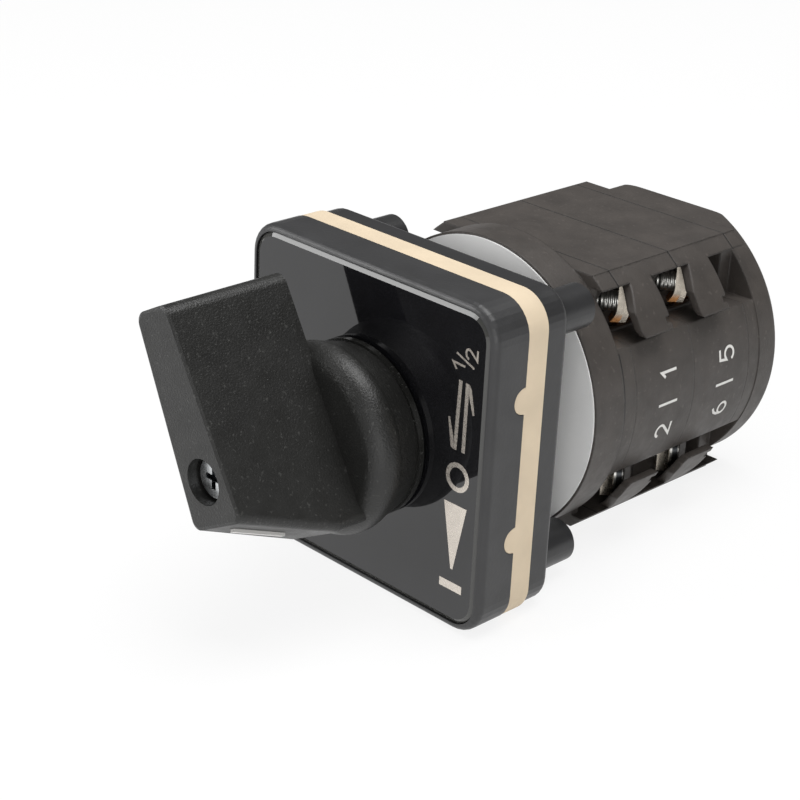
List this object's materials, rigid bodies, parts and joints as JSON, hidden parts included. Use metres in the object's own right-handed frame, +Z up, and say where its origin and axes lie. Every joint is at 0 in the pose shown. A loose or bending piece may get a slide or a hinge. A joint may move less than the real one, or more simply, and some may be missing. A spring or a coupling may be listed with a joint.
{
  "type": "rotary cam switch",
  "caption": "Panel rotary cam switch with square front plate, lever knob, screw posts behind the plate and stacked cam contact stages with side terminals.",
  "frame": {"origin": "on the shaft axis in the plane of the mounting frame's rear face", "axes": "+Y along the shaft away from the operator, +Z up, +X to the right seen from the operator"},
  "size_m": [0.048, 0.0949, 0.048],
  "materials": {
    "bezel": "satin, fine grain",
    "legend": "mirror gloss",
    "gasket": "matt cream",
    "rubber": "matt black",
    "housing": "matt, dark brown black",
    "label": "printed film",
    "steel": "zinc plated",
    "nickel": "nickel plated",
    "shaft": "machined",
    "knob": "fine texture",
    "ivory": "moulded, natural",
    "spring": "drawn wire",
    "brass": "rolled strip"
  },
  "bodies": {
    "housing": {"bezel": "bezel", "legend_plate": "legend", "gasket": "gasket", "mounting_frame": "bezel", "frame_screws": "steel", "shaft_seal": "rubber", "latch_housing": "housing", "ring_label": "label", "stage_1_housing": "housing", "stage_2_housing": "housing", "end_cap": "housing", "tie_bolts": "steel", "tie_nuts": "steel", "fixed_contact_1": "brass", "fixed_contact_2": "brass", "fixed_contact_3": "brass", "fixed_contact_4": "brass", "fixed_contact_5": "brass", "fixed_contact_6": "brass", "fixed_contact_7": "brass", "fixed_contact_8": "brass", "clamp_washers": "nickel", "terminal_screws": "steel", "index_spring_right": "spring", "index_spring_left": "spring", "contact_spring_1_2": "spring", "contact_spring_3_4": "spring", "contact_spring_5_6": "spring", "contact_spring_7_8": "spring"},
    "rotor": {"drive_shaft": "shaft", "shaft_clip": "steel", "knob": "knob", "knob_screw": "steel", "pointer_inlay": "label", "index_wheel": "ivory", "cam_1": "ivory", "cam_2": "ivory"},
    "contact_1_2": {"plunger_1_2": "ivory", "bridge_1_2": "brass"},
    "contact_3_4": {"plunger_3_4": "ivory", "bridge_3_4": "brass"},
    "contact_5_6": {"plunger_5_6": "ivory", "bridge_5_6": "brass"},
    "contact_7_8": {"plunger_7_8": "ivory", "bridge_7_8": "brass"},
    "index_right": {"index_plunger_right": "ivory"},
    "index_left": {"index_plunger_left": "ivory"}
  },
  "joints": [
    {"name": "knob_turn", "type": "hinge", "parent": "housing", "child": "rotor", "pos_m": [0, 0, 0], "axis": [0, -1, 0], "range_deg": [0, 120]},
    {"name": "contact_1_2_lift", "type": "slide", "parent": "housing", "child": "contact_1_2", "axis": [1, 0, 0], "range_m": [0, 0.002], "deforming": ["contact_spring_1_2"]},
    {"name": "contact_3_4_lift", "type": "slide", "parent": "housing", "child": "contact_3_4", "axis": [-1, 0, 0], "range_m": [0, 0.002], "deforming": ["contact_spring_3_4"]},
    {"name": "contact_5_6_lift", "type": "slide", "parent": "housing", "child": "contact_5_6", "axis": [1, 0, 0], "range_m": [-0.002, 0], "deforming": ["contact_spring_5_6"]},
    {"name": "contact_7_8_lift", "type": "slide", "parent": "housing", "child": "contact_7_8", "axis": [-1, 0, 0], "range_m": [-0.002, 0], "deforming": ["contact_spring_7_8"]},
    {"name": "index_right_click", "type": "slide", "parent": "housing", "child": "index_right", "axis": [1, 0, 0], "range_m": [-0.001, 0], "stiffness_N_per_m": 300, "springref_m": -0.001, "deforming": ["index_spring_right"]},
    {"name": "index_left_click", "type": "slide", "parent": "housing", "child": "index_left", "axis": [-1, 0, 0], "range_m": [-0.001, 0], "stiffness_N_per_m": 300, "springref_m": -0.001, "deforming": ["index_spring_left"]}
  ],
  "couplings": [
    {"joint": "contact_1_2_lift", "follows": "knob_turn", "m_per_rad": 0.00095493},
    {"joint": "contact_3_4_lift", "follows": "knob_turn", "m_per_rad": 0.00095493},
    {"joint": "contact_5_6_lift", "follows": "knob_turn", "m_per_rad": -0.00095493},
    {"joint": "contact_7_8_lift", "follows": "knob_turn", "m_per_rad": -0.00095493}
  ]
}
